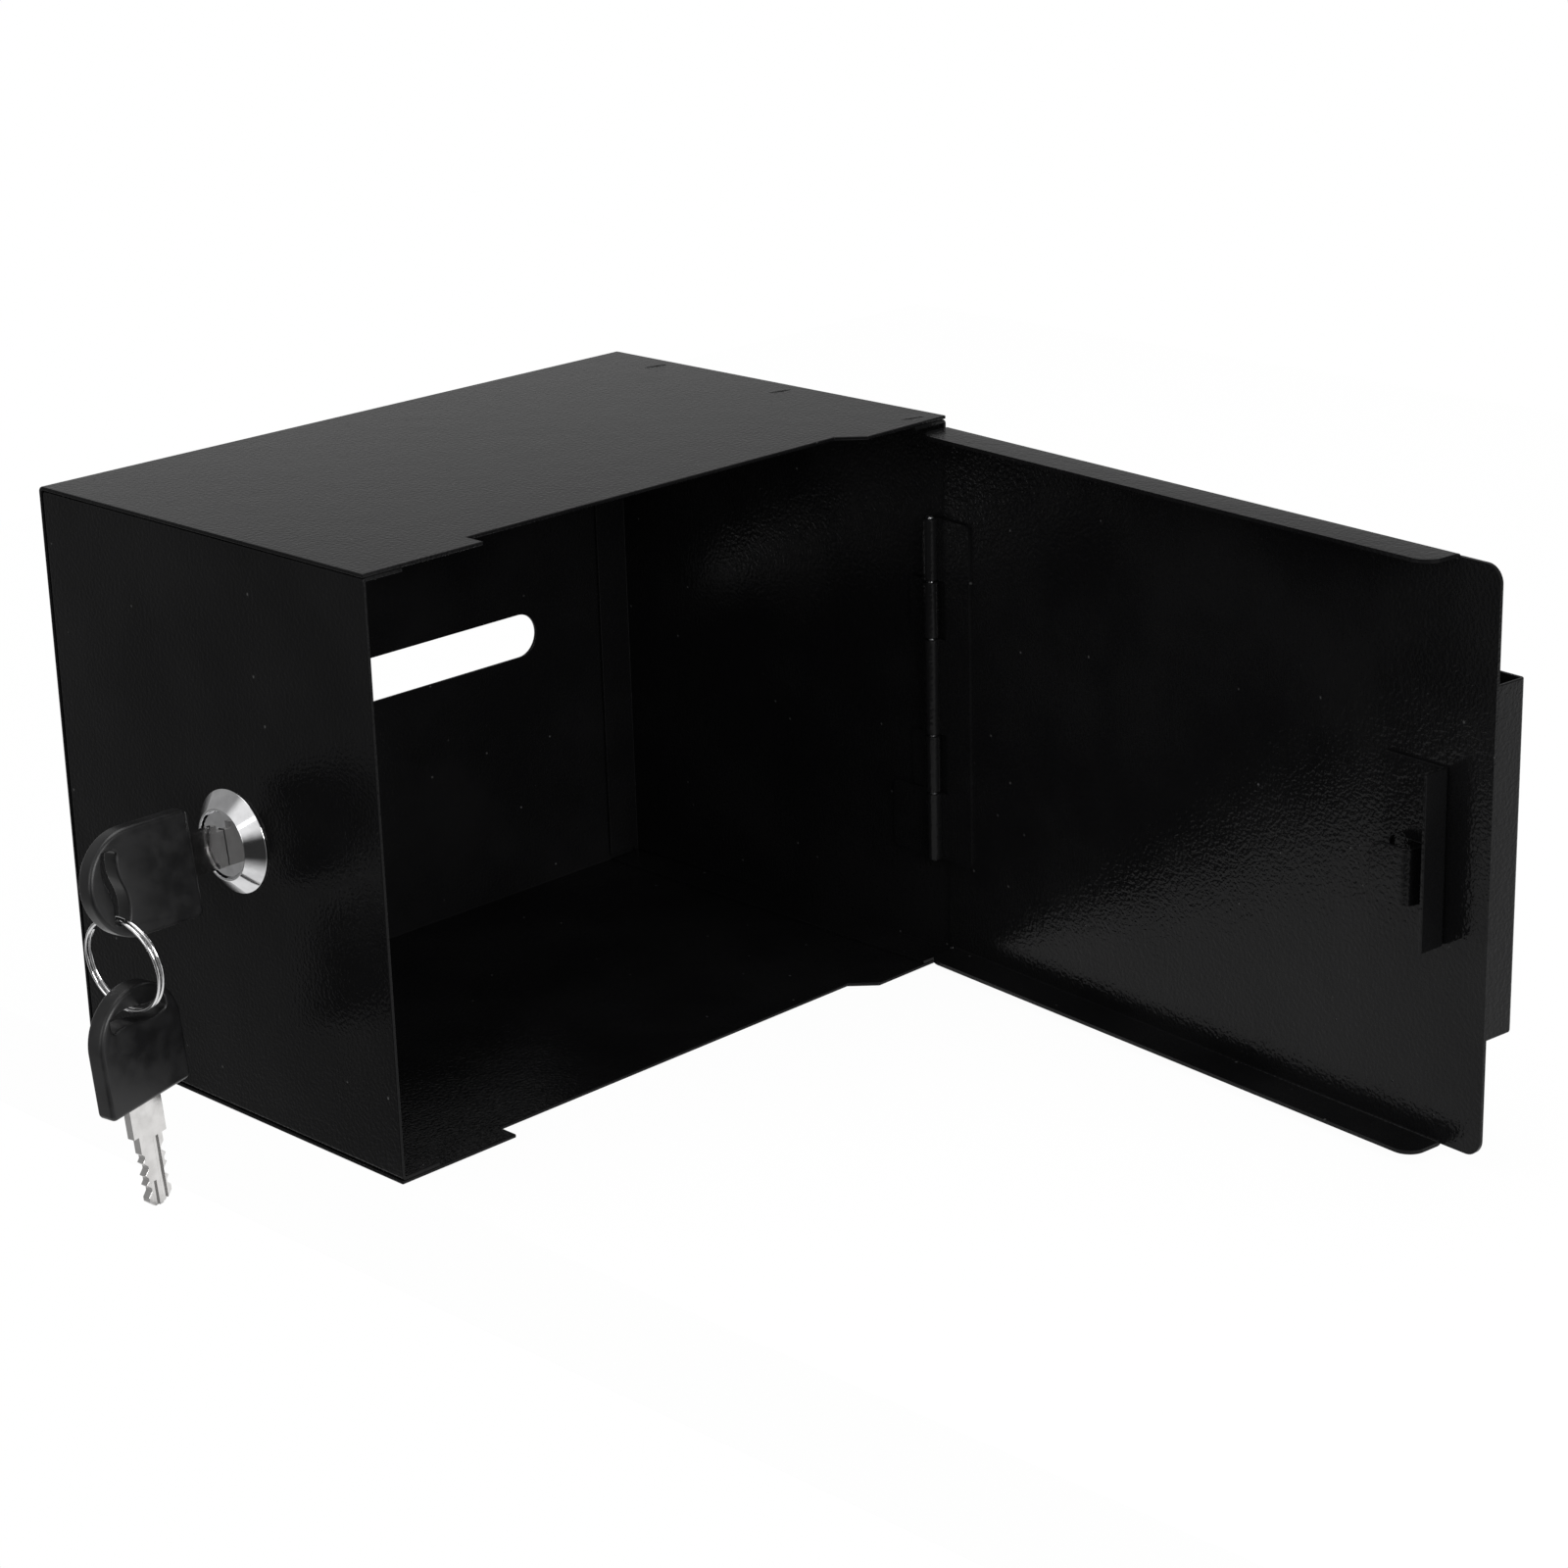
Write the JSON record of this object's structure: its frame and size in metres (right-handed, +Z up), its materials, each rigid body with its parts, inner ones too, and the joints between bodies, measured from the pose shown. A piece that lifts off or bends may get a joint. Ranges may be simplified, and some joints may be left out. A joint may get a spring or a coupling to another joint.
{
  "type": "suggestion box",
  "caption": "Locking sheet-steel suggestion box with a card slot, a hinged door with a card pocket, a cam lock and keys.",
  "frame": {"origin": "centre of the case's underside", "axes": "+X along the long side from the lock to the hinge, +Y from the door to the slotted wall, +Z up"},
  "size_m": [0.2692, 0.3211, 0.1662],
  "materials": {
    "black_paint": "fine orange-peel powder coat",
    "lock_chrome": "polished",
    "zinc_steel": "bright zinc",
    "wafer_brass": "stamped",
    "key_nickel": "nickel plate",
    "key_plastic": "moulded, satin",
    "ring_nickel": "bright nickel"
  },
  "bodies": {
    "case": {"case_wrap": "black_paint", "lock_side_panel": "black_paint", "hinge_side_panel": "black_paint", "hinge_body_leaf": "black_paint", "hinge_pin": "zinc_steel", "lock_body": "lock_chrome", "lock_washer": "zinc_steel", "lock_nut": "zinc_steel"},
    "door": {"door_panel": "black_paint", "card_pocket": "black_paint", "catch_bracket": "black_paint", "hinge_door_leaf": "black_paint"},
    "lock_core": {"lock_plug": "lock_chrome", "plug_wafers": "wafer_brass", "wafer_springs": "zinc_steel", "lock_cam": "zinc_steel", "cam_washer": "zinc_steel", "cam_screw": "zinc_steel"},
    "key": {"key_blade": "key_nickel", "key_head": "key_plastic"},
    "ring": {"split_ring": "ring_nickel"},
    "spare_key": {"spare_key_blade": "key_nickel", "spare_key_head": "key_plastic"}
  },
  "joints": [
    {"name": "door_hinge", "type": "hinge", "parent": "case", "child": "door", "pos_m": [0.0967, -0.0616, 0.078], "axis": [0, 0, 1], "range_deg": [-84.1, 8]},
    {"name": "lock_turn", "type": "hinge", "parent": "case", "child": "lock_core", "pos_m": [-0.1, -0.007, 0.0759], "axis": [1, 0, 0], "range_deg": [0, 90]},
    {"name": "key_slide", "type": "slide", "parent": "lock_core", "child": "key", "axis": [-1, 0, 0], "range_m": [0, 0.022]},
    {"name": "ring_swing", "type": "hinge", "parent": "key", "child": "ring", "pos_m": [-0.1375, -0.00879, 0.06393], "axis": [0.9839, 0.1558, 0.0872], "range_deg": [-24, 5]},
    {"name": "spare_swing", "type": "hinge", "parent": "ring", "child": "spare_key", "pos_m": [-0.13564, -0.00849, 0.04242], "axis": [-0.1564, 0.9877, 0], "range_deg": [-20, 30]}
  ]
}
